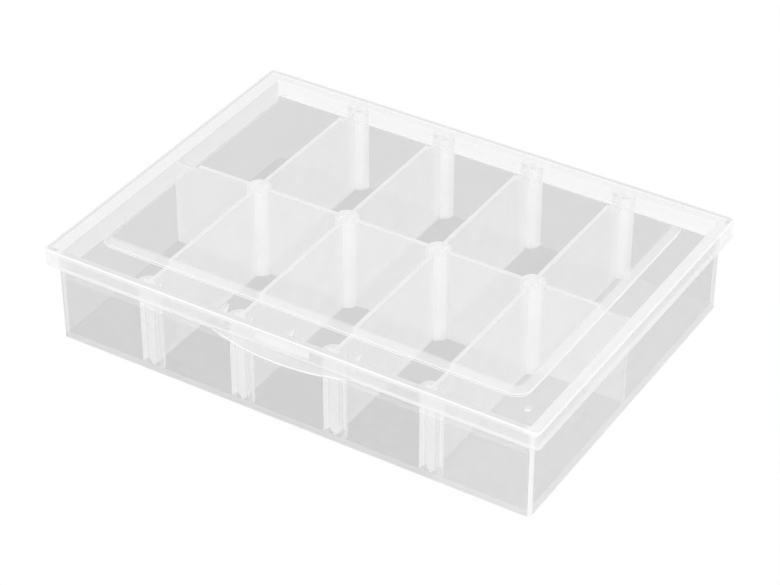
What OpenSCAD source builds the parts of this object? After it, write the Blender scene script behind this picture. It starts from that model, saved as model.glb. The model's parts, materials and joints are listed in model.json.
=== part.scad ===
/* [Overall] */
// Width of the lid, left to right
lid_w = 270; // [220:1:340]
// Depth of the lid, front to back
lid_d = 196.5; // [160:0.5:260]
// Height of the closed box up to the lid's outer margin
box_h = 52; // [40:0.5:70]

/* [Lid] */
// Thickness of the lid's plate
lid_t = 1.8; // [1.2:0.1:2.6]
// Height of the skirt round the lid, from the margin down
skirt_h = 9.8; // [8.5:0.1:14]
// Thickness of the skirt
skirt_t = 2; // [1.4:0.1:2.6]
// Radius of the lid's upright corners
lid_r = 3; // [2:0.5:8]
// How far the middle panel rises above the margin
panel_rise = 2.6; // [1.2:0.1:4]
// Run of the slope between the margin and the panel
panel_run = 2.9; // [1.5:0.1:4]
// Width of the margin at the sides
margin_x = 18.1; // [12:0.1:24]
// Width of the margin at the front and back
margin_y = 18.6; // [12:0.1:24]
// Corner radius at the foot of the raised panel
panel_r = 8; // [5:0.5:14]
// Width of the thumb tab along the front
tab_w = 77; // [40:1:110]
// How far the thumb tab reaches out
tab_reach = 5; // [3:0.5:9]
// Thickness of the thumb tab
tab_t = 1.6; // [1.2:0.1:2.4]
// Downward slope of the thumb tab, degrees
tab_tilt = 25; // [5:1:40]

/* [Tray] */
// Thickness of the tray's walls
wall_t = 2.2; // [1.6:0.1:3]
// Thickness of the tray's floor
floor_t = 2; // [1.4:0.1:3]
// Radius of the tray's upright corners
tray_r = 3; // [2.5:0.5:8]
// Thickness of the fixed middle wall
mid_t = 2; // [1.4:0.1:3]
// How far the rim stands out beyond the side walls
rim_side = 2.8; // [1:0.1:4]
// How far the rim stands out beyond the front and rear walls
rim_front = 1.2; // [1:0.05:2]
// Thickness of the rim
rim_t = 2.4; // [1.8:0.1:3]
// Height of the rib along the front wall
rib_h = 2.4; // [1.5:0.1:4]
// How far the rib stands out of the front wall
rib_out = 1.2; // [0.6:0.1:1.6]
// Distance from the skirt's lower edge down to the rib
rib_drop = 3.4; // [2:0.1:8]
// Distance from the two inner guide posts out to the outer gussets
gusset_off = 10.3; // [8.5:0.1:14]
// Width of a gusset
gusset_w = 2.4; // [1.4:0.1:3]
// Reach of a gusset's top from the front wall
gusset_reach = 6; // [3:0.5:9]
// Height of a gusset
gusset_h = 8; // [4:0.5:14]

/* [Dividers] */
// Thickness of a divider
divider_t = 2; // [1.4:0.1:2.6]
// Width of the thick edge that a guide holds
head_w = 4.2; // [3.6:0.1:5]
// Thickness of that edge, along the divider
head_t = 1.8; // [1.2:0.1:2.2]
// How far the thick edge stops above the floor
head_lift = 1.6; // [0.8:0.1:3]
// Radius of the guide posts
post_r = 6; // [5.5:0.1:7]

/* [Latch] */
// Length of the snap bar behind the front skirt
snap_w = 29; // [16:1:40]
// Height of the snap bar
snap_h = 3.8; // [2:0.1:4]
// How far the snap bar reaches under the rim
snap_bite = 0.6; // [0.3:0.05:0.8]

/* [Hinge] */
// Distance from the lid's side to the middle of each tray lug
lug_inset = 17; // [16:0.5:40]
// Width of a tray lug
lug_w = 12; // [8:0.5:14]
// Outer radius of lugs and ears
knuckle_r = 2.9; // [2.6:0.1:3.2]
// Diameter of the stub pins
pin_d = 4; // [3:0.1:4.2]
// Length of a stub pin
pin_l = 10; // [6:0.5:12]
// Thickness of an ear
ear_t = 3.2; // [2:0.1:4]
// How far the hinge axis lies below the skirt's lower edge
hinge_drop = 0.7; // [0.5:0.1:1.5]

/* [Clearances] */
// Rim to skirt, all round
rim_gap = 0.3; // [0.2:0.05:0.5]
// Rim to the underside of the lid's plate
lid_gap = 0.2; // [0.1:0.05:0.5]
// Top of the dividers to the underside of the raised panel
top_gap = 0.4; // [0.3:0.1:1]
// Tall part of the dividers and middle wall to the panel's slope
slope_gap = 0.8; // [0.6:0.1:2]
// Divider to guide, on each side
slot_gap = 0.2; // [0.1:0.05:0.3]
// Room beside the thick edge in its slot, on each side
head_gap = 1.2; // [0.4:0.1:1.4]
// Stub pin to bore, on the radius
pin_gap = 0.05; // [0.02:0.01:0.1]
// Lug to ear, ear to rear wall, and snap bar to rim
knuckle_gap = 0.3; // [0.2:0.05:0.5]
// Lug to the skirt's notch above it, which sets how far the lid opens
stop_gap = 0.35; // [0.3:0.05:0.6]

/* [Hidden] */
$fn = 64;
hull_fn = 32;
// Overlap that fuses shapes of one moulding, and the height of a hull's thin end slabs
fuse = 0.5;
slab = 0.05;
// Compartments in a row, and the dividers between them
columns = 5;
dividers = columns - 1;
row_front = -1;
row_rear = 1;
frosted = [0.93, 0.94, 0.94];
frosted_divider = [0.88, 0.89, 0.9];

// Heights, from the surface that the box stands on
skirt_z = box_h - skirt_h;
plate_z = box_h - lid_t;
rim_z = plate_z - lid_gap;
panel_z = box_h + panel_rise;
tall_z = panel_z - lid_t - top_gap;
rib_z = skirt_z - rib_drop - rib_h;
hinge_z = skirt_z - hinge_drop;

// Tray, worked inwards from the skirt
rim_w = lid_w - 2 * (skirt_t + rim_gap);
rim_d = lid_d - 2 * (skirt_t + rim_gap);
rim_r = max(lid_r - skirt_t - rim_gap, slot_gap);
tray_w = rim_w - 2 * rim_side;
tray_d = rim_d - 2 * rim_front;
inner_w = tray_w - 2 * wall_t;
inner_d = tray_d - 2 * wall_t;
inner_r = max(tray_r - wall_t, slot_gap);
pitch = (inner_w + divider_t) / columns;
gusset_x = pitch / 2 + gusset_off;

// Raised panel of the lid, outside and inside
panel_w = lid_w - 2 * margin_x;
panel_d = lid_d - 2 * margin_y;
panel_inset = lid_t * tan(atan2(panel_rise, panel_run) / 2);
tall_w = panel_w - 2 * (panel_inset + panel_run + slope_gap);
tall_d = panel_d - 2 * (panel_inset + panel_run + slope_gap);

// Guides
slot_w = divider_t + 2 * slot_gap;
pocket_w = head_w + 2 * head_gap;
pocket_t = head_t + 2 * slot_gap;

// Latch and hinge
snap_out = rim_gap + snap_bite;
snap_top = rim_z - rim_t - knuckle_gap;
lug_x = lid_w / 2 - lug_inset;
hinge_y = tray_d / 2 + knuckle_gap + knuckle_r;
notch_top = hinge_z + knuckle_r + stop_gap;
ear_x = lug_x + lug_w / 2 + knuckle_gap;
bore_d = pin_d + 2 * pin_gap;

// Gate pip on the lid's front right margin
pip_d = 1.8;
pip_h = 0.3;
pip_inset = 13;

function divider_x(i) = (i - (dividers + 1) / 2) * pitch;

// Plan of a rectangle with round corners, centred
module round_rect(w, d, r) {
    square([w - 2 * r, d], center = true);
    square([w, d - 2 * r], center = true);
    for (x = [-1, 1], y = [-1, 1]) {
        translate([x * (w / 2 - r), y * (d / 2 - r)]) circle(r);
    }
}

module round_slab(w, d, r, z, h) {
    translate([0, 0, z]) linear_extrude(h) round_rect(w, d, r);
}

// Rectangular ring between two plans
module ring(w, d, r, w_in, d_in, r_in, z, h) {
    translate([0, 0, z]) linear_extrude(h) difference() {
        round_rect(w, d, r);
        round_rect(w_in, d_in, r_in);
    }
}

// Box given by its limits along each axis
module span(x, y, z) {
    translate([x[0], y[0], z[0]]) cube([x[1] - x[0], y[1] - y[0], z[1] - z[0]]);
}

// Cylinder lying along X, from x to x + l
module rod(x, y, z, r, l) {
    translate([x, y, z]) rotate([0, 90, 0]) cylinder(r = r, h = l);
}

module both_sides() {
    children();
    mirror([1, 0, 0]) children();
}

// Tray ---------------------------------------------------------------------

module tray_shell() {
    difference() {
        round_slab(tray_w, tray_d, tray_r, 0, rim_z);
        round_slab(inner_w, inner_d, inner_r, floor_t, rim_z);
    }
    ring(rim_w, rim_d, rim_r, inner_w, inner_d, inner_r, rim_z - rim_t, rim_t);
}

module middle_wall() {
    reach = inner_w / 2 + fuse;
    span([-reach, reach], [-mid_t / 2, mid_t / 2], [floor_t - fuse, rim_z]);
    span([-tall_w / 2, tall_w / 2], [-mid_t / 2, mid_t / 2], [rim_z - fuse, tall_z]);
}

// Post on the middle wall, and half posts on the front and rear walls
module guide_posts(x) {
    translate([x, 0, floor_t - fuse]) cylinder(r = post_r, h = tall_z - floor_t + fuse);
    for (row = [row_front, row_rear]) {
        intersection() {
            translate([x, row * inner_d / 2, floor_t - fuse])
                cylinder(r = post_r, h = rim_z - floor_t + fuse);
            span([x - post_r, x + post_r], [-(inner_d / 2 + fuse), inner_d / 2 + fuse], [0, rim_z]);
        }
    }
}

// T slot for one divider edge: the wall's face is at y, and the slot opens towards -dir
module guide_slot(x, y, dir) {
    translate([x, y, floor_t]) scale([1, -dir, 1]) {
        span([-pocket_w / 2, pocket_w / 2], [0, pocket_t], [0, tall_z]);
        span([-slot_w / 2, slot_w / 2], [0, post_r + fuse], [0, tall_z]);
    }
}

module front_rib() {
    reach = tray_w / 2 - tray_r;
    span([-reach, reach], [-tray_d / 2 - rib_out, fuse - tray_d / 2], [rib_z, rib_z + rib_h]);
}

// Triangular gusset inside the front wall
module gusset(x) {
    translate([x - gusset_w / 2, -inner_d / 2, rim_z]) rotate([90, 0, 90]) linear_extrude(gusset_w)
        polygon([[-fuse, 0], [gusset_reach, 0], [0, -gusset_h], [-fuse, -gusset_h]]);
}

// Hinge lug with a square heel, which stops the lid when it is fully open
module hinge_lug() {
    x = [lug_x - lug_w / 2, lug_x + lug_w / 2];
    rod(x[0], hinge_y, hinge_z, knuckle_r, lug_w);
    span(x, [tray_d / 2 - fuse, hinge_y], [hinge_z - knuckle_r, hinge_z + knuckle_r]);
    span(x, [hinge_y, hinge_y + knuckle_r], [hinge_z - knuckle_r, hinge_z]);
}

module tray() {
    color(frosted) difference() {
        union() {
            tray_shell();
            middle_wall();
            for (i = [1 : dividers]) guide_posts(divider_x(i));
            front_rib();
            for (x = [-gusset_x, 0, gusset_x]) gusset(x);
            both_sides() hinge_lug();
        }
        for (i = [1 : dividers], row = [row_front, row_rear]) {
            guide_slot(divider_x(i), row * mid_t / 2, -row);
            guide_slot(divider_x(i), row * inner_d / 2, row);
        }
        both_sides() rod(lug_x - lug_w, hinge_y, hinge_z, bore_d / 2, 2 * lug_w);
    }
}

// Dividers -----------------------------------------------------------------

// Plate number i, counted from the left, in the front or rear row
module divider(i, row) {
    y_in = mid_t / 2 + slot_gap;
    y_out = inner_d / 2 - slot_gap;
    half_t = divider_t / 2;
    half_head = head_w / 2;
    head_z = floor_t + head_lift;
    color(frosted_divider) translate([divider_x(i), 0, 0]) scale([1, row, 1]) {
        span([-half_t, half_t], [y_in, y_out], [floor_t, rim_z]);
        span([-half_t, half_t], [y_in, tall_d / 2], [rim_z - fuse, tall_z]);
        span([-half_head, half_head], [y_in, y_in + head_t], [head_z, tall_z]);
        span([-half_head, half_head], [y_out - head_t, y_out], [head_z, rim_z]);
    }
}

// Lid ----------------------------------------------------------------------

// Sloped block between two plans of the panel: its foot at z, its top at z + panel_rise
module panel_block(w, d, r, z) {
    hull($fn = hull_fn) {
        round_slab(w, d, r, z - slab, slab);
        round_slab(w - 2 * panel_run, d - 2 * panel_run, r - panel_run, z + panel_rise - slab, slab);
    }
}

module lid_shell() {
    difference() {
        union() {
            round_slab(lid_w, lid_d, lid_r, plate_z, lid_t);
            panel_block(panel_w, panel_d, panel_r, box_h);
        }
        panel_block(panel_w - 2 * panel_inset, panel_d - 2 * panel_inset, panel_r - panel_inset, plate_z);
    }
    ring(lid_w, lid_d, lid_r, lid_w - 2 * skirt_t, lid_d - 2 * skirt_t, max(lid_r - skirt_t, slot_gap),
        skirt_z, plate_z - skirt_z + fuse);
}

// Crescent lip that slopes down from the skirt's lower edge
module thumb_tab() {
    arc_r = (pow(tab_w / 2, 2) + pow(tab_reach, 2)) / (2 * tab_reach);
    root = (skirt_t - tab_t / 2 * sin(tab_tilt)) / cos(tab_tilt);
    translate([0, -lid_d / 2, skirt_z]) rotate([tab_tilt, 0, 0]) translate([0, 0, -tab_t / 2])
        linear_extrude(tab_t) intersection() {
            translate([0, arc_r - tab_reach]) circle(arc_r);
            translate([-tab_w / 2, -tab_reach]) square([tab_w, tab_reach + root]);
        }
}

module snap_bar() {
    skirt_in = skirt_t - lid_d / 2;
    span([-snap_w / 2, snap_w / 2], [skirt_in - fuse, skirt_in + snap_out], [snap_top - snap_h, snap_top]);
}

module hinge_ear() {
    rod(ear_x, hinge_y, hinge_z, knuckle_r, ear_t);
    rod(ear_x - knuckle_gap - pin_l, hinge_y, hinge_z, pin_d / 2, pin_l + knuckle_gap + fuse);
}

// Mark that the moulding gate leaves on the front right margin
module gate_pip() {
    translate([lid_w / 2 - pip_inset, pip_inset - lid_d / 2, box_h - slab])
        cylinder(d = pip_d, h = pip_h + slab);
}

// Room in the rear skirt for a lug
module lug_notch() {
    span([lug_x - lug_w / 2 - knuckle_gap, ear_x], [lid_d / 2 - skirt_t - fuse, lid_d / 2 + fuse],
        [skirt_z - fuse, notch_top]);
}

module lid() {
    color(frosted) {
        difference() {
            lid_shell();
            both_sides() lug_notch();
        }
        thumb_tab();
        snap_bar();
        both_sides() hinge_ear();
        gate_pip();
    }
}

tray();
lid();
for (i = [1 : dividers]) {
    divider(i, row_front);
    divider(i, row_rear);
}
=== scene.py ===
import json
import math

import bmesh
import bpy
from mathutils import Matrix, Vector

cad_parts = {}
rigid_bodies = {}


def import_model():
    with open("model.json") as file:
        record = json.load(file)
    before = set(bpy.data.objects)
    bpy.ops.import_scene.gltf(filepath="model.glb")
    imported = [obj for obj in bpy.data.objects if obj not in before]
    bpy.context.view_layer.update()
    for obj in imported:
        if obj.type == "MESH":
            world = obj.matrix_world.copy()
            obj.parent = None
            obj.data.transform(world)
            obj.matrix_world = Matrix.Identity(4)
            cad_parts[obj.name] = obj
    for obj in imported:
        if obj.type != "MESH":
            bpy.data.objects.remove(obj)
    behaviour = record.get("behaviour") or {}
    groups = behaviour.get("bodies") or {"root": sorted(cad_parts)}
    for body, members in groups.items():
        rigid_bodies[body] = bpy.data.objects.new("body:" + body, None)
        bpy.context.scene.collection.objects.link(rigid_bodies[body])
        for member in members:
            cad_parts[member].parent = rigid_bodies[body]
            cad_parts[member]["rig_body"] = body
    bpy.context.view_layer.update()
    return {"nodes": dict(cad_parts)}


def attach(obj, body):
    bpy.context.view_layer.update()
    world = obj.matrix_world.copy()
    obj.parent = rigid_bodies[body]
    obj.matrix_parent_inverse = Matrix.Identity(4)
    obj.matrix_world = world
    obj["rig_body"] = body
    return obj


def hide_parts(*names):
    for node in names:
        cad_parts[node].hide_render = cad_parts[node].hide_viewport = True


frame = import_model()

scene = bpy.context.scene
scene.view_settings.view_transform = "Standard"
# A ray through the box crosses dozens of clear surfaces
scene.cycles.transparent_max_bounces = 64
scene.cycles.max_bounces = 16

# ---------------------------------------------------------------- sizes of the solids, in mm
MM = 0.001
TRAY_W, TRAY_D, WALL_T, FLOOR_T = 259.8, 189.5, 2.2, 2.0
OUT_X, OUT_Y = TRAY_W / 2, TRAY_D / 2
IN_X, IN_Y = OUT_X - WALL_T, OUT_Y - WALL_T
MID_HALF, RIM_UNDER, RIM_TOP = 1.0, 47.6, 50.0
POST_R, PITCH = 6.0, 51.48
POST_X = (0.5 * PITCH, 1.5 * PITCH)
LID_W, LID_D, LID_R, SKIRT_Z, PLATE_Z, BOX_H = 270, 196.5, 3, 42.2, 50.2, 52.0
PANEL_W, PANEL_D = 233.8, 159.3
# Where the small forms are: gussets, snap bar, hinge ears and thumb tab
GUSSET_REACH, GUSSET_FOOT = 6, 40
SNAP_HALF, SNAP_Y, SNAP_TOP = 15, (-96.6, -94), 48
EAR_X, EAR_TOP, EAR_T = 107, 45, 1.9
TAB_HALF, TAB_T, TAB_H = 40, 3, 2


# ---------------------------------------------------------------- node helpers
class Nodes:
    """A node tree, with short ways to add and join nodes."""

    def __init__(self, tree):
        self.tree = tree

    def feed(self, socket, value):
        """Joins an output to a socket, or sets the socket's constant."""
        if isinstance(value, bpy.types.NodeSocket):
            self.tree.links.new(value, socket)
        else:
            socket.default_value = value

    def add(self, kind, inputs=None, **settings):
        """A new node with its settings, and with the named inputs fed."""
        node = self.tree.nodes.new("ShaderNode" + kind)
        for key, value in settings.items():
            setattr(node, key, value)
        for key, value in (inputs or {}).items():
            self.feed(node.inputs[key], value)
        return node

    def math(self, operation, *values, clamp=False):
        """The result of a sum on numbers and outputs"""
        node = self.add("Math", operation=operation, use_clamp=clamp)
        for socket, value in zip(node.inputs, values):
            self.feed(socket, value)
        return node.outputs[0]

    def ramp(self, value, low, high, out_low=0.0, out_high=1.0):
        """A soft step: out_low below low, out_high above high"""
        limits = {"Value": value, "From Min": low, "From Max": high,
                  "To Min": out_low, "To Max": out_high}
        return self.add("MapRange", limits, interpolation_type="SMOOTHSTEP").outputs["Result"]

    def blend(self, fac, low, high):
        """A mix of two colours"""
        return self.add("MixRGB", {"Fac": fac, "Color1": low, "Color2": high}).outputs["Color"]

    def mix(self, fac, low, high):
        """A mix of two shaders"""
        return self.add("MixShader", {"Fac": fac, 1: low, 2: high}).outputs[0]

    def noise(self, vector, scale, detail):
        inputs = {"Vector": vector, "Scale": scale, "Detail": detail}
        return self.add("TexNoise", inputs).outputs["Fac"]

    def stretched(self, vector, scale, turn):
        """Coordinates scaled along the axes and turned about z, by degrees"""
        changes = {"Vector": vector, "Scale": scale, "Rotation": (0, 0, math.radians(turn))}
        return self.add("Mapping", changes).outputs[0]


def new_material(name):
    material = bpy.data.materials.new(name)
    material.use_nodes = True
    material.node_tree.nodes.clear()
    return material, Nodes(material.node_tree)


def grey(value):
    return (value, value, value, 1)


# ---------------------------------------------------------------- frosted plastic
# Noise scales are per metre. A STEP is the range of a noise over which its effect comes in.
CLOUD_SCALE, CLOUD_DETAIL, CLOUD_STEP = 38, 3, (0.25, 0.75)
GRAIN_SCALE, GRAIN_DETAIL, GRAIN_STRENGTH, GRAIN_HEIGHT = 5200, 1, 0.12, 0.00008
FLOW_STRETCH, FLOW_TURN, FLOW_SCALE, FLOW_DETAIL = (9, 60, 30), 4, 6, 4
FLOW_STEP, FLOW_SHADE, FLOW_SHARE = (0.45, 0.8), 0.97, 0.05
SCUFF_STRETCH, SCUFF_TURN, SCUFF_SCALE, SCUFF_DETAIL = (30, 900, 300), 37, 1, 2
SCUFF_STEP, SCUFF_PLACES, SCUFF_DEPTH, SCUFF_SHARE = (0.64, 0.74), (0.5, 0.62), 1.5, 0.02
HAZE_STEP, ROUGHNESS, ROUGHER, IOR = (0.3, 0.7), 0.32, 0.12, 1.49
# The cloud's part in the shade, the roughness and the solid share
CLOUD_SHADE, CLOUD_ROUGH, CLOUD_SOLID = 0.965, 0.15, 0.06
# What a film leaves of the light that reaches the inside of the box
LIGHT_PASSED = 0.994


def painted_shadow_line(n, axes, width, depth, corner, inset, half):
    """A mask for a painted shadow line along the left and rear sides of a round rectangle, within
    its edge.
    """
    past = [n.math("SUBTRACT", n.math("ABSOLUTE", axes.outputs[axis]), (size / 2 - corner) * MM)
            for axis, size in (("X", width), ("Y", depth))]
    over = [n.math("MAXIMUM", value, 0) for value in past]
    squares = [n.math("MULTIPLY", value, value) for value in over]
    reach = n.math("SQRT", n.math("ADD", *squares))
    edge = n.math("ADD", reach, n.math("MINIMUM", n.math("MAXIMUM", *past), 0))
    off = n.math("ABSOLUTE", n.math("ADD", edge, (inset - corner) * MM))
    left = n.math("SUBTRACT", n.math("MULTIPLY", axes.outputs["X"], -1), width / 2 * MM)
    side = n.math("MAXIMUM", left, n.math("SUBTRACT", axes.outputs["Y"], depth / 2 * MM))
    return n.math("MULTIPLY", n.ramp(off, half * 0.5 * MM, half * 1.5 * MM, 1, 0),
                  n.ramp(side, -4 * inset * MM, -3 * inset * MM))


def film_zones(n, coords, band, ends, both, rear, line):
    """The parts of a film that look different, as (mask, solid, shade, the solid it changes from).
    None stands for the film's own solid."""
    axes = n.add("SeparateXYZ", {0: coords})
    zones = []
    if band:
        low, high, solid, shade = band
        zones.append((n.ramp(axes.outputs["Z"], low * MM, high * MM), solid, shade, None))
    if ends:
        near, far, solid, shade = ends
        aside = n.math("ABSOLUTE", axes.outputs["X"]) if both else axes.outputs["X"]
        if rear is not None:
            behind = n.math("ADD", axes.outputs["Y"], (near - rear) * MM)
            aside = n.math("MAXIMUM", aside, behind)
        out = n.ramp(aside, near * MM, far * MM)
        if band:
            out = n.math("MULTIPLY", out, zones[0][0])
        zones.append((out, solid, shade, band[2] if band else None))
    if line:
        *shape, solid, shade = line
        zones.append((painted_shadow_line(n, axes, *shape), solid, shade, None))
    return zones


def film(name, solid, shade, band=None, ends=None, both=True, rear=None, line=None, tint=1.0,
         milky=0.45, sheen=0.5):
    """Frosted see-through plastic: each surface shows solid of its own pale shade, and lets the
    rest through. Lengths are in mm.
    tint darkens what comes through, milky is the share of light that glows through from behind.
    band = (low z, high z, solid, shade): what the film turns into above those heights.
    ends = (near x, far x, solid, shade): the same beyond those distances from the middle, to both
    sides or to the right only, and within the band if there is one.
    rear = the distance behind the middle past which the ends' look holds too.
    line = (width, depth, corner radius, inset, half width, solid, shade): a painted shadow line
    inside the left and rear sides of a round rectangle."""
    material, n = new_material(name)
    coords = n.add("TexCoord").outputs["Object"]
    cloud = n.noise(coords, CLOUD_SCALE, CLOUD_DETAIL)
    grain = n.noise(coords, GRAIN_SCALE, GRAIN_DETAIL)
    flow = n.noise(n.stretched(coords, FLOW_STRETCH, FLOW_TURN), FLOW_SCALE, FLOW_DETAIL)
    thin = n.noise(n.stretched(coords, SCUFF_STRETCH, SCUFF_TURN), SCUFF_SCALE, SCUFF_DETAIL)
    scuffs = n.math("MULTIPLY", n.ramp(thin, *SCUFF_STEP), n.ramp(cloud, *SCUFF_PLACES))
    height = n.math("ADD", grain, n.math("MULTIPLY", scuffs, -SCUFF_DEPTH))
    bump = n.add("Bump", {"Strength": GRAIN_STRENGTH, "Distance": GRAIN_HEIGHT, "Height": height})
    zones = film_zones(n, coords, band, ends, both, rear, line)

    colour = n.blend(cloud, grey(shade * CLOUD_SHADE), grey(shade))
    share = n.ramp(cloud, *CLOUD_STEP, solid * (1 - CLOUD_SOLID), solid * (1 + CLOUD_SOLID))
    for mask, zone_solid, zone_shade, before in zones:
        colour = n.blend(mask, colour, grey(zone_shade))
        step = zone_solid - (solid if before is None else before)
        share = n.math("ADD", share, n.math("MULTIPLY", mask, step))
    streaks = n.math("MULTIPLY", n.ramp(flow, *FLOW_STEP), FLOW_SHARE)
    colour = n.blend(streaks, colour, grey(FLOW_SHADE))
    share = n.math("ADD", share, n.math("MULTIPLY", scuffs, SCUFF_SHARE), clamp=True)
    hazy = n.ramp(cloud, *HAZE_STEP, ROUGHNESS * (1 - CLOUD_ROUGH), ROUGHNESS * (1 + CLOUD_ROUGH))
    rough = n.math("ADD", hazy, n.math("MULTIPLY", n.math("ADD", scuffs, flow), ROUGHER))

    body = n.add("BsdfPrincipled", {"Base Color": colour, "Roughness": rough, "IOR": IOR,
                                    "Specular IOR Level": sheen, "Normal": bump.outputs["Normal"]})
    through = n.add("BsdfTranslucent", {"Color": colour, "Normal": bump.outputs["Normal"]})
    clear = n.add("BsdfTransparent", {"Color": grey(tint)})
    seen = n.mix(share, clear.outputs[0], n.mix(milky, body.outputs[0], through.outputs[0]))
    passed = n.add("BsdfTransparent", {"Color": grey(LIGHT_PASSED)})
    path = n.add("LightPath")
    for ray in ("Is Diffuse Ray", "Is Shadow Ray"):
        seen = n.mix(path.outputs[ray], seen, passed.outputs[0])
    n.add("OutputMaterial", {"Surface": seen})
    return material


# The wall's foot band below 0.3 to 0.8 mm is a painted highlight along the bottom edge. Its grey
# above is partly the plastic's own, partly painted shade of the table under the box. It is lighter
# beyond 72 to 92 mm from the middle, at the outer compartments and the right wall: painted light.
WALL = film("tray_wall", 0.85, 0.97, band=(0.3, 0.8, 0.2, 0.66), ends=(72, 92, 0.2, 0.72),
            tint=0.98)
# Left and rear walls: their grey and tint are painted shadow of the box on the table behind, seen
# through them. Their bands near the top turn white, clear of that shadow.
FAR_WALL = film("tray_far_wall_painted_shadow", 0.14, 0.5, band=(39.6, 40.8, 0.9, 0.98), tint=0.89, milky=0.1)
FAR_SIDE = film("tray_far_side_painted_shadow", 0.14, 0.47, band=(37.0, 38.4, 0.75, 0.88), tint=0.9, milky=0.1)
FAR_BACK = film("tray_far_back_painted_shadow", 0.14, 0.55, tint=0.89)
# The floor's grey is painted shadow of the box on the table beneath, seen through it. It is
# lighter past 70 to 84 mm right of the middle: painted light.
FLOOR = film("tray_floor_painted_shadow", 0.72, 0.66, ends=(70, 84, 0.72, 0.75), both=False)
FACE = film("divider_face", 0.5, 0.92)
# Posts are lighter from 15 mm up to 45 mm and darker down towards the floor: painted light.
POST = film("guide_post", 0.6, 0.88, band=(15, 45, 0.8, 0.92), milky=0.25)
HUB = film("post_top", 0.9, 0.98, milky=0.1)
COLUMN = film("front_post", 0.8, 0.98, milky=0.15, sheen=0.2)
SLOT = film("post_slot", 0.1, 0.95, sheen=0.1)
LID = film("lid_panel", 0.05, 0.6)
SLOPE = film("lid_slope", 0.4, 0.9, milky=0.1)
FAR_SLOPE = film("lid_far_slope", 0.19, 0.95, sheen=0.1)
# The margin's line is painted shadow: the dark of the gap between the lid's skirt and the tray's
# rim, on the left and rear only.
MARGIN = film("lid_margin", 0.1, 0.78, line=(LID_W, LID_D, LID_R, 2.15, 1.0, 0.2, 0.15))
UNDER = film("lid_underside", 0.08, 0.72)
SKIRT = film("lid_skirt", 0.31, 0.93)
TAB = film("thumb_tab", 0.55, 0.84)
# The rim is whiter and more solid at its left and right ends and at the rear than at the front:
# painted light.
RIM = film("tray_rim", 0.92, 0.87, ends=(125, 128, 0.97, 1.0), rear=88, milky=0.05)
RIB = film("tray_rib", 0.2, 0.9)
# Whiter, more solid outer corner rounds: partly the plastic seen through its thickness, partly
# painted highlight.
CORNER = film("tray_corner", 0.85, 0.94, milky=0.2)
FIN = film("gusset", 0.75, 0.96, milky=0.2)
# Whiter, more solid rounds and narrow tops: partly the plastic seen through its thickness, partly
# painted highlight.
EDGE = film("edge_painted_highlight", 0.84, 0.98, milky=0.15)
SNAP = film("snap_bar", 0.8, 0.98, milky=0.2)

# ---------------------------------------------------------------- pieces
# Points within MERGE metres become one, faces that meet at less than FLAT are joined, edges that
# bend by more than BEND may be rounded, and edges from HARD on are shaded as sharp.
MERGE = 1e-6
FLAT, BEND, HARD = math.radians(0.5), math.radians(25), math.radians(50)


def soften(node, films, choose, passes):
    """Replaces a CAD node by a copy of its mesh with flats merged and edges rounded.
    choose(centre, normal) gives a flat's film, from its centre in mm. passes are (radius in mm,
    segments, rule for an edge, the same choice for the round)."""
    source = frame["nodes"][node]
    mesh = source.data.copy()
    mesh.name = node + "_shape"
    bm = bmesh.new()
    bm.from_mesh(mesh)

    def dress(faces, pick):
        for face in faces:
            face.smooth = True
            face.material_index = films.index(pick(face.calc_center_median() / MM, face.normal))

    bmesh.ops.remove_doubles(bm, verts=bm.verts, dist=MERGE)
    bmesh.ops.dissolve_limit(bm, angle_limit=FLAT, verts=bm.verts, edges=bm.edges)
    dress(bm.faces, choose)
    for radius, segments, rule, pick in passes:
        bent = [e for e in bm.edges if e.calc_face_angle(0) > BEND
                and rule((e.verts[0].co + e.verts[1].co) / 2 / MM, e.is_convex)]
        made = bmesh.ops.bevel(bm, geom=bent, offset=radius * MM, segments=segments, profile=0.5,
                               affect="EDGES", clamp_overlap=False, material=-1)
        dress(made["faces"], pick)
    for edge in bm.edges:
        edge.smooth = edge.calc_face_angle(0) < HARD
    mesh.materials.clear()
    for material in films:
        mesh.materials.append(material)
    bm.to_mesh(mesh)
    bm.free()
    piece = bpy.data.objects.new(node + "_moulding", mesh)
    scene.collection.objects.link(piece)
    piece.modifiers.new("face_normals", "WEIGHTED_NORMAL").keep_sharp = True
    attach(piece, source["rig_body"])
    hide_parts(node)


# The choices below take a face's centre c in mm and its normal n. The first match holds.
# How much of an axis is in a normal that points along it, halfway, upward, leans or just tilts
ALONG, HALFWAY, UPWARD, LEAN, TILT = 0.9, 0.5, 0.3, 0.2, 0.1
# From these on a face counts as level, at the thumb tab and on the panel's slope
TAB_LEVEL, SLOPE_LEVEL = 0.98, 0.95
# Room in mm: around a height or plane, around a post, clear of a wall, near a form, within an
# edge, and for a corner's round
HAIR, PAD, CLEAR, NEAR, BESIDE, ROUND = 0.1, 0.2, 0.3, 0.5, 1, 3
# Of the walls that have posts, only the front one lies before this y
FRONT_Y = -80


def at_front(c):
    """Whether a point at a post or a divider's end is at the front wall"""
    return c.y < FRONT_Y


def beside_post(c):
    """Distance along x to the nearest post's middle"""
    return min(abs(abs(c.x) - x) for x in POST_X)


def near_post(c):
    """Whether a point lies at a guide post of the middle, front or rear wall"""
    y = abs(c.y)
    return beside_post(c) < POST_R + PAD and (
        y < POST_R + PAD or IN_Y - POST_R - PAD < y < IN_Y - PAD)


def post_face(c, n):
    """A post's top, its round side or the inside of its slot"""
    along = min(abs(c.y), IN_Y - abs(c.y))
    outside = math.hypot(beside_post(c), along) > POST_R - NEAR
    if n.z > ALONG:
        return HUB
    if at_front(c):
        return COLUMN if outside else SLOT
    return POST if outside else HUB


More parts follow.
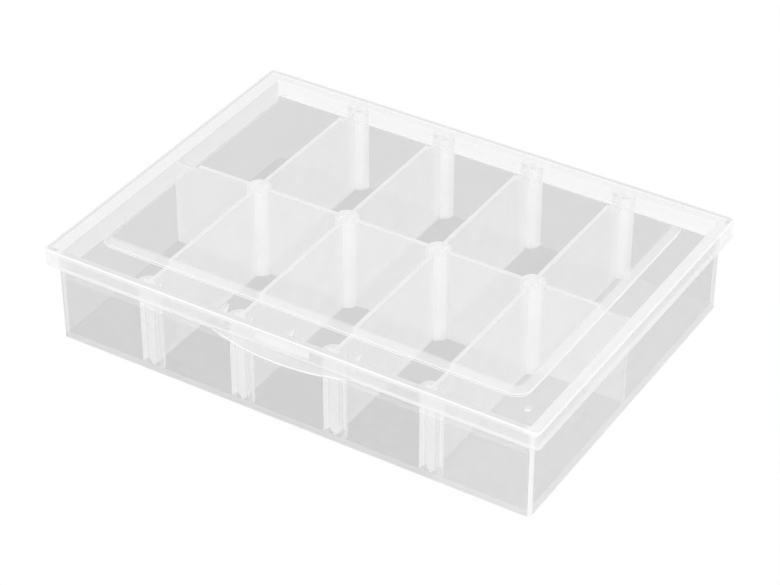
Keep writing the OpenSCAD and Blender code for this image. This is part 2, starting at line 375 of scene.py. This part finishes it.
def tray_face(c, n):
    mid_wall = abs(c.y) < MID_HALF + PAD
    if (c.z < NEAR and n.z < -ALONG) or (c.z < FLOOR_T + NEAR and n.z > ALONG):
        return FLOOR
    if n.z > ALONG and abs(c.z - RIM_TOP) < HAIR:
        return RIM
    if near_post(c):
        return post_face(c, n)
    if mid_wall and abs(c.x) < IN_X - BESIDE and (n.z > ALONG or abs(n.x) > ALONG):
        return EDGE
    if (abs(c.y) > OUT_Y + CLEAR and c.z > RIM_UNDER - HAIR) or abs(c.x) > OUT_X + HAIR:
        return RIM
    if c.z > GUSSET_FOOT and -IN_Y < c.y < GUSSET_REACH - IN_Y:
        return FIN
    if c.y > OUT_Y + CLEAR:
        return EDGE
    if c.y < -OUT_Y - CLEAR:
        return RIB
    if mid_wall and abs(n.y) > ALONG:
        return FACE
    # Outer corner rounds, but not the rear-left one, get CORNER's painted highlight.
    if c.x > OUT_X - ROUND / 2 and n.x > LEAN and abs(n.y) > LEAN:
        return CORNER
    if c.x < ROUND / 2 - OUT_X and n.x < -LEAN and n.y < -LEAN:
        return CORNER
    # The left and rear walls take the films with painted shadow.
    if c.x < ROUND - IN_X and n.x > HALFWAY:
        return FAR_SIDE
    if c.y > IN_Y - ROUND and n.y < -HALFWAY:
        return FAR_WALL
    if (c.x < ROUND - OUT_X and n.x < -LEAN) or (c.y > OUT_Y - ROUND and n.y > LEAN):
        return FAR_BACK
    return WALL


def tray_edge(c, n):
    if near_post(c):
        return HUB if n.z > UPWARD else COLUMN if at_front(c) else POST
    if c.y < -OUT_Y - PAD and c.z < RIM_UNDER - BESIDE:
        return RIB
    if c.z > RIM_UNDER - 0.4 and abs(c.y) > ROUND:
        return RIM
    return EDGE


def divider_face(c, n):
    if near_post(c) and not at_front(c):
        return HUB
    if abs(n.x) > HALFWAY:
        return FACE
    if n.z > ALONG:
        return EDGE
    return COLUMN if at_front(c) else POST


def divider_edge(c, n):
    return HUB if near_post(c) else EDGE


def lid_face(c, n):
    front, rear, level = -LID_D / 2, LID_D / 2, abs(n.z)
    if abs(c.x) < SNAP_HALF and SNAP_Y[0] < c.y < SNAP_Y[1] and c.z < SNAP_TOP:
        return SNAP
    if c.z < SKIRT_Z + HAIR and n.z < -HALFWAY and front < c.y < rear - NEAR:
        return EDGE
    if c.y > rear - EAR_T and c.z < EAR_TOP and abs(c.x) > EAR_X:
        return POST
    if c.y < front - HAIR / 2:
        return TAB
    under_tab = abs(c.x) < TAB_HALF and c.y < front + TAB_T and c.z < SKIRT_Z + TAB_H
    if under_tab and LEAN < level < TAB_LEVEL:
        return TAB
    if c.z > PLATE_Z + CLEAR and LEAN < level < SLOPE_LEVEL:
        return FAR_SLOPE if n.x < -LEAN or n.y > LEAN else SLOPE
    if level < HALFWAY:
        return SKIRT
    if c.z < BOX_H + HAIR:
        return MARGIN if n.z > 0 else UNDER
    return LID


# Rounds at the plate's edge and the panel's foot take EDGE's painted highlight on the front and
# right, and plainer films on the left and rear.
def faces_away(n):
    """Whether a round's normal leans to the left or the rear, the camera's far sides"""
    return n.x < -TILT or n.y > TILT


def lid_edge(c, n):
    if c.z > BOX_H + PAD:
        return FAR_SLOPE if faces_away(n) else SLOPE
    if c.z > BOX_H - BESIDE and (c.x < BESIDE - LID_W / 2 or c.y > LID_D / 2 - BESIDE):
        return MARGIN
    return EDGE


def foot_edge(c, n):
    return FAR_SLOPE if faces_away(n) else EDGE


def edge_painted_highlight(c, n):
    return EDGE


# The rules below take an edge's middle m in mm, and whether the edge is convex.
def tray_round(m, convex):
    return convex and m.z > BESIDE and not near_post(m)


def divider_round(m, convex):
    return convex and not near_post(m)


def on_panel(m):
    return abs(m.x) < PANEL_W / 2 + BESIDE and abs(m.y) < PANEL_D / 2 + BESIDE


def panel_top(m, convex):
    return m.z > BOX_H + NEAR


def panel_foot(m, convex):
    return abs(m.z - BOX_H) < HAIR and on_panel(m)


def plate_rim(m, convex):
    return m.z > BOX_H - HAIR and not on_panel(m)


def skirt_foot(m, convex):
    return convex and m.z < SKIRT_Z + HAIR and m.y < LID_D / 2 - ROUND


def any_convex(m, convex):
    return convex


soften("tray", [WALL, FAR_WALL, FAR_SIDE, FAR_BACK, FLOOR, FACE, POST, COLUMN, SLOT, HUB, RIM,
                RIB, CORNER, FIN, EDGE], tray_face, [(0.3, 2, tray_round, tray_edge)])
soften("lid", [LID, SLOPE, FAR_SLOPE, MARGIN, UNDER, SKIRT, TAB, POST, SNAP, EDGE], lid_face, [
    (0.9, 3, panel_top, lid_edge),
    (0.4, 2, panel_foot, foot_edge),
    (0.6, 3, plate_rim, lid_edge),
    (0.5, 2, skirt_foot, edge_painted_highlight),
    (0.25, 2, any_convex, lid_edge)])
for row in ("front", "rear"):
    for i in range(1, 5):
        soften("divider_%s_%d" % (row, i), [FACE, POST, COLUMN, HUB, EDGE], divider_face,
               [(0.35, 2, divider_round, divider_edge)])

# ---------------------------------------------------------------- floor
FLOOR_HALF, FLOOR_DROP = 4, 0.0004
GLOW_SHARE, GLOW, MATT = 0.85, 1.02, 0.98
floor_mesh = bpy.data.meshes.new("floor_shape")
floor_mesh.from_pydata([(x * FLOOR_HALF, y * FLOOR_HALF, 0)
                        for x, y in ((-1, -1), (1, -1), (1, 1), (-1, 1))], [], [(0, 1, 2, 3)])
floor = bpy.data.objects.new("floor", floor_mesh)
floor.location.z = -FLOOR_DROP
scene.collection.objects.link(floor)
white, n = new_material("floor_white")
path = n.add("LightPath")
seen = n.math("MAXIMUM", path.outputs["Is Camera Ray"], n.math(
    "MAXIMUM", path.outputs["Is Glossy Ray"], path.outputs["Is Transmission Ray"]))
matt = n.add("BsdfDiffuse", {"Color": grey(MATT)})
glow = n.add("Emission", {"Color": grey(1), "Strength": GLOW})
n.add("OutputMaterial", {"Surface": n.mix(n.math("MULTIPLY", seen, GLOW_SHARE),
                                          matt.outputs[0], glow.outputs[0])})
# The glow only whitens what is seen, so it isn't sampled as a lamp
white.cycles.emission_sampling = "NONE"
floor.data.materials.append(white)

# ---------------------------------------------------------------- light
# The sky is white to the camera and in reflections, and SKY strong as a light
SKY, SUN = 0.76, 0.22
SUN_HEIGHT, SUN_SIZE = math.radians(25), math.radians(25)
world = bpy.data.worlds.new("studio")
scene.world = world
world.use_nodes = True
n = Nodes(world.node_tree)
sky = world.node_tree.nodes["Background"]
path = n.add("LightPath")
seen = n.math("MAXIMUM", path.outputs["Is Camera Ray"], path.outputs["Is Glossy Ray"])
n.feed(sky.inputs["Color"], grey(1))
n.feed(sky.inputs["Strength"], n.math("MULTIPLY_ADD", seen, 1 - SKY, SKY))
for name, turn in (("softbox_front", -8), ("softbox_right", 80)):
    turn = math.radians(turn)
    away = Vector((math.sin(turn), -math.cos(turn), math.tan(SUN_HEIGHT)))
    sun = bpy.data.objects.new(name, bpy.data.lights.new(name, "SUN"))
    sun.data.energy = SUN * math.pi
    sun.data.angle = SUN_SIZE
    sun.rotation_euler = away.to_track_quat("Z", "Y").to_euler()
    scene.collection.objects.link(sun)

# ---------------------------------------------------------------- camera
AZIMUTH, ELEVATION = math.radians(31.66), math.radians(35.63)
DISTANCE, FOCAL_PX, FRAME_W, SENSOR = 1.256, 2579, 780, 36
AIM_Z, AIM_LEFT, AIM_DOWN = 20 * MM, 1.1 * MM, 2.5 * MM
back = Vector((math.sin(AZIMUTH) * math.cos(ELEVATION), -math.cos(AZIMUTH) * math.cos(ELEVATION),
               math.sin(ELEVATION)))
right = Vector((math.cos(AZIMUTH), math.sin(AZIMUTH), 0))
up = back.cross(right)
target = Vector((0, 0, AIM_Z)) - AIM_LEFT * right - AIM_DOWN * up
camera = bpy.data.objects.new("camera", bpy.data.cameras.new("camera"))
camera.data.sensor_width = SENSOR
camera.data.lens = FOCAL_PX / FRAME_W * SENSOR
camera.data.clip_start, camera.data.clip_end = 0.05, 20
camera.location = target + DISTANCE * back
camera.rotation_euler = back.to_track_quat("Z", "Y").to_euler()
scene.collection.objects.link(camera)
scene.camera = camera
